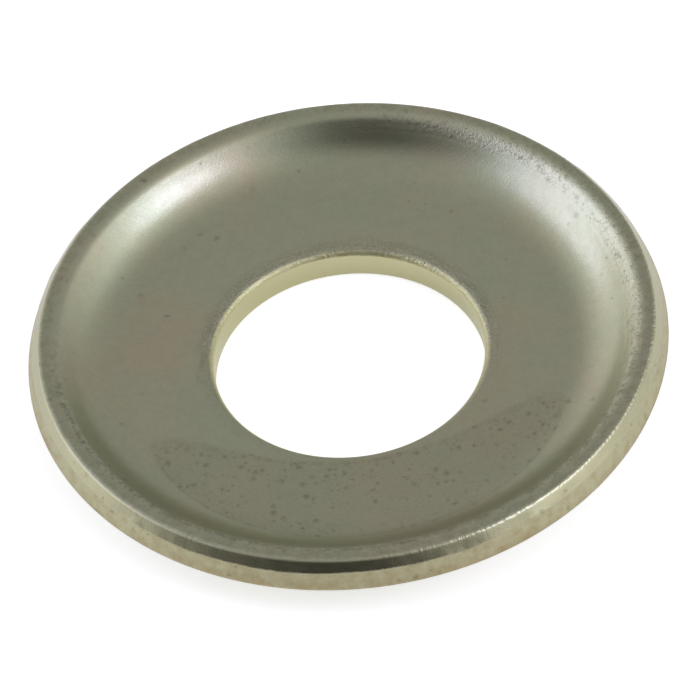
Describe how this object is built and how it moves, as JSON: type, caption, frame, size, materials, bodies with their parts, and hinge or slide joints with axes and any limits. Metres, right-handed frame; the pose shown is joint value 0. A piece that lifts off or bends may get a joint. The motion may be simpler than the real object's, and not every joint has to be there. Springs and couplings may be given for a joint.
{
  "type": "dished axle bolt washer",
  "caption": "Round pressed steel washer with a flat floor, a central bolt hole and a turned-up rim with a narrow flat land and a sheared edge, for seating an axle bolt.",
  "frame": {"origin": "centre of the bolt hole, on the plane of the floor's underside", "axes": "+Z along the axis of the hole, towards the open side of the dish; X and Y may point any way, as the washer is round"},
  "size_m": [0.039, 0.039, 0.0043],
  "materials": {
    "zinc_steel": "pressed sheet steel, zinc plated with a faintly yellow clear passivation, satin, with small pits and handling marks"
  },
  "bodies": {
    "root": {"washer": "zinc_steel"}
  },
  "joints": []
}
